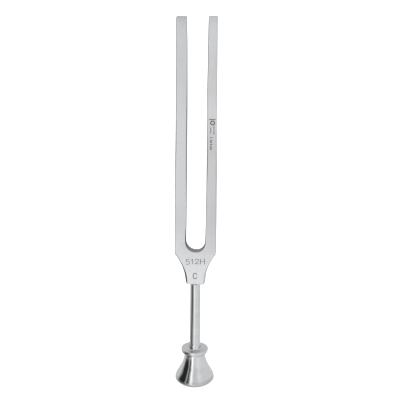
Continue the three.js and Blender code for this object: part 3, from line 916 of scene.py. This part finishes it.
# level by azimuth at each elevation, from high in the tent down to the table under the fork
RINGS = [
    (29, [(-180, 0.83), (-140, 0.80), (-114, 0.80), (-104, 0.70), (-96, 0.54), (-89, 0.20), (-83, 0.03), (-60, 0.03), (-55, 0.10),
          (-52, 0.50), (-48, 0.66), (-45, 0.18), (-42, 0.06), (-37, 0.18), (-32, 0.48), (-28, 0.88), (-23, 1.52), (-18, 1.72),
          (-13, 1.36), (-8, 1.00), (-3, 0.90), (3, 0.80), (12, 0.88), (20, 0.94), (28, 1.02), (33, 1.12), (40, 1.03), (56, 0.97),
          (72, 0.92), (90, 0.90), (130, 0.90), (180, 0.83)]),
    (20, [(-180, 0.83), (-140, 0.80), (-114, 0.80), (-104, 0.70), (-96, 0.54), (-89, 0.20), (-83, 0.03), (-58, 0.03), (-53, 0.10),
          (-49.5, 0.62), (-46.5, 0.66), (-43, 0.12), (-39, 0.05), (-35, 0.14), (-30, 0.32), (-26, 0.64), (-21, 1.38), (-16, 1.75),
          (-11, 1.34), (-6, 1.03), (-2, 0.94), (3, 0.85), (9, 0.88), (22, 0.89), (29, 0.97), (36, 1.05), (44, 0.98), (56, 0.91),
          (72, 0.90), (90, 0.90), (130, 0.90), (180, 0.83)]),
    (14, [(-180, 0.83), (-140, 0.85), (-114, 0.84), (-105, 0.74), (-98, 0.52), (-91, 0.20), (-85, 0.03), (-59, 0.03), (-54, 0.06),
          (-50, 0.40), (-46.5, 0.66), (-43, 0.20), (-40, 0.06), (-36, 0.18), (-31, 0.42), (-27, 0.92), (-23, 1.52), (-18, 1.70),
          (-13, 1.42), (-8, 1.12), (-3, 0.96), (3, 0.88), (11, 0.96), (20, 0.98), (28, 1.14), (36, 1.20), (46, 1.08), (60, 0.98),
          (80, 0.95), (100, 0.96), (140, 0.94), (180, 0.83)]),
    (10, [(-180, 0.83), (-140, 0.86), (-114, 0.84), (-105, 0.74), (-99, 0.46), (-93, 0.14), (-88, 0.03), (-58, 0.03), (-54, 0.06),
          (-50, 0.30), (-46.5, 0.70), (-43, 0.24), (-40, 0.05), (-36, 0.14), (-31, 0.38), (-27, 0.86), (-23, 1.48), (-18, 1.70),
          (-13, 1.44), (-8, 1.12), (-3, 0.97), (3, 0.92), (11, 0.98), (20, 1.00), (28, 1.14), (36, 1.18), (46, 1.08), (60, 0.98),
          (80, 0.95), (100, 0.96), (140, 0.94), (180, 0.83)]),
    (-5, [(-180, 0.80), (-145, 0.86), (-116, 0.86), (-108, 0.76), (-102, 0.46), (-96, 0.18), (-91, 0.04), (-72, 0.03), (-60, 0.03),
          (-55, 0.16), (-51.5, 0.84), (-48.5, 0.80), (-44, 0.10), (-38, 0.06), (-33, 0.24), (-28, 0.66), (-23, 1.60), (-18, 2.05),
          (-13, 1.66), (-9, 1.16), (-3, 1.02), (3, 1.02), (14, 1.04), (22, 1.05), (31, 1.18), (42, 1.10), (54, 1.08), (66, 1.02),
          (84, 0.97), (110, 0.97), (150, 0.90), (180, 0.80)]),
    (-14, [(-180, 0.60), (-150, 0.82), (-118, 0.84), (-108, 0.66), (-101, 0.40), (-94, 0.18), (-88, 0.10), (-66, 0.10), (-58, 0.22),
           (-52, 0.56), (-47, 0.48), (-43, 0.30), (-38, 0.32), (-33, 0.52), (-28, 0.95), (-22, 1.84), (-17, 2.10), (-12, 1.40),
           (-6, 1.06), (0, 0.95), (14, 0.98), (28, 1.08), (44, 1.10), (60, 1.04), (84, 0.97), (110, 0.94), (150, 0.84), (180, 0.60)]),
    (-19, [(-180, 0.50), (-150, 0.82), (-122, 0.86), (-108, 0.70), (-99, 0.40), (-92, 0.30), (-76, 0.26), (-66, 0.32), (-58, 0.56),
           (-51, 0.74), (-44, 0.68), (-38, 0.70), (-31, 1.06), (-25, 1.74), (-19, 2.10), (-13, 1.64), (-4, 1.02), (4, 0.97),
           (20, 1.06), (48, 1.09), (66, 1.02), (84, 0.97), (110, 0.97), (140, 0.92), (180, 0.50)]),
    (-24, [(-180, 0.80), (-150, 0.86), (-118, 0.92), (-104, 0.76), (-94, 0.56), (-84, 0.34), (-74, 0.16), (-64, 0.08), (-54, 0.08),
           (-46, 0.18), (-38, 0.36), (-31, 0.66), (-24, 1.10), (-17, 1.42), (-10, 1.42), (-3, 1.16), (6, 1.06), (20, 1.02),
           (36, 0.97), (60, 0.98), (84, 0.88), (124, 0.88), (150, 0.88), (180, 0.80)]),
    (-26.2, [(-180, 0.80), (-150, 0.80), (-122, 0.74), (-108, 0.60), (-98, 0.42), (-88, 0.22), (-78, 0.14), (-66, 0.16), (-57, 0.34),
             (-48, 0.66), (-38, 0.86), (-28, 1.06), (-18, 1.24), (-8, 1.26), (0, 1.16), (12, 1.06), (26, 1.06), (42, 1.08),
             (62, 1.06), (86, 0.93), (110, 0.95), (140, 0.94), (180, 0.80)]),
    (-31, [(-180, 0.66), (-166, 0.46), (-152, 0.16), (-140, 0.06), (-56, 0.06), (-46, 0.14), (-38, 0.34), (-28, 0.90), (-18, 1.30),
           (-6, 1.30), (6, 1.16), (20, 1.02), (40, 0.94), (70, 0.86), (110, 0.80), (150, 0.74), (180, 0.66)]),
    (-42, [(-180, 0.60), (-158, 0.46), (-140, 0.30), (-118, 0.24), (-70, 0.20), (-56, 0.30), (-42, 0.50), (-28, 0.84), (-14, 1.10),
           (10, 1.08), (34, 0.92), (70, 0.80), (120, 0.74), (180, 0.60)]),
    (-60, [(-180, 0.60), (-140, 0.54), (-90, 0.55), (-50, 0.66), (-14, 0.94), (14, 0.94), (50, 0.84), (90, 0.80), (140, 0.76), (180, 0.60)]),
    (-78, [(-180, 0.72), (-120, 0.80), (-60, 0.88), (0, 0.90), (60, 0.84), (120, 0.78), (180, 0.72)]),
]
level = None
for el, stops in RINGS:
    ring = band(stops)
    level = ring if level is None else mix_color(wt, remap(wt, el_deg, last, el, 0.0, 1.0), level, ring)
    last = el
# darker gap behind the fork between table and backdrop
behind = remap(wt, math_node(wt, "ABSOLUTE", az_deg), 132.0, 160.0, 0.0, 1.0)
gap = math_node(wt, "MULTIPLY", remap(wt, el_deg, -4.0, 3.0, 0.0, 1.0), remap(wt, el_deg, 25.0, 21.0, 0.0, 1.0))
gap = math_node(wt, "SUBTRACT", 1.0, math_node(wt, "MULTIPLY", math_node(wt, "MULTIPLY", behind, gap), 0.08))
level = scale_color(wt, level, gap)
# overhead the flag and strip end, and the tent is an even white
level = mix_color(wt, remap(wt, el_deg, 40.0, 58.0, 0.0, 1.0), level, (0.96, 0.96, 0.96))
wt.links.new(level, bg.inputs["Color"])
bg.inputs["Strength"].default_value = 1.0


def area_light(name, loc, size, power, target=(0, 0, 0.05)):
    li = bpy.data.lights.new(name, "AREA")
    li.shape = "RECTANGLE"
    li.size, li.size_y = size
    li.energy = power
    ob = bpy.data.objects.new(name, li)
    bpy.context.scene.collection.objects.link(ob)
    ob.location = loc
    ob.rotation_mode = "QUATERNION"
    ob.rotation_quaternion = (Vector(target) - Vector(loc)).to_track_quat("-Z", "Y")
    return ob


softbox = area_light("overhead_softbox", (0.1, -0.15, 0.9), (0.9, 0.9), 3.0)
softbox.visible_glossy = False

# ------------------------------------------------------------------ camera, almost straight in front and a little above
AZ, EL, ROLL = math.radians(3.5), math.radians(19.0), math.radians(0.39)
DIST, AIM_Z, LENS_PX = 307.14, 57.935, 1075.0
back = Vector((math.sin(AZ) * math.cos(EL), -math.cos(AZ) * math.cos(EL), math.sin(EL)))
right = (-back).cross(Vector((0, 0, 1))).normalized()
up = right.cross(-back)
r2 = right * math.cos(ROLL) + up * math.sin(ROLL)
u2 = -right * math.sin(ROLL) + up * math.cos(ROLL)
cam_data = bpy.data.cameras.new("camera")
cam_data.sensor_width = 36.0
cam_data.lens = LENS_PX / 400 * 36.0
cam_data.shift_x = 4.2 / 400          # frames the fork where it stands in the picture
cam_data.clip_start, cam_data.clip_end = 0.01, 30
cam = bpy.data.objects.new("camera", cam_data)
bpy.context.scene.collection.objects.link(cam)
pos = (Vector((0, 0, AIM_Z)) + back * DIST) * MM
m = Matrix((r2, u2, back)).transposed().to_4x4()
m.translation = pos
cam.matrix_world = m
bpy.context.scene.camera = cam

bpy.context.scene.view_settings.view_transform = "Standard"
bpy.context.scene.view_settings.look = "None"
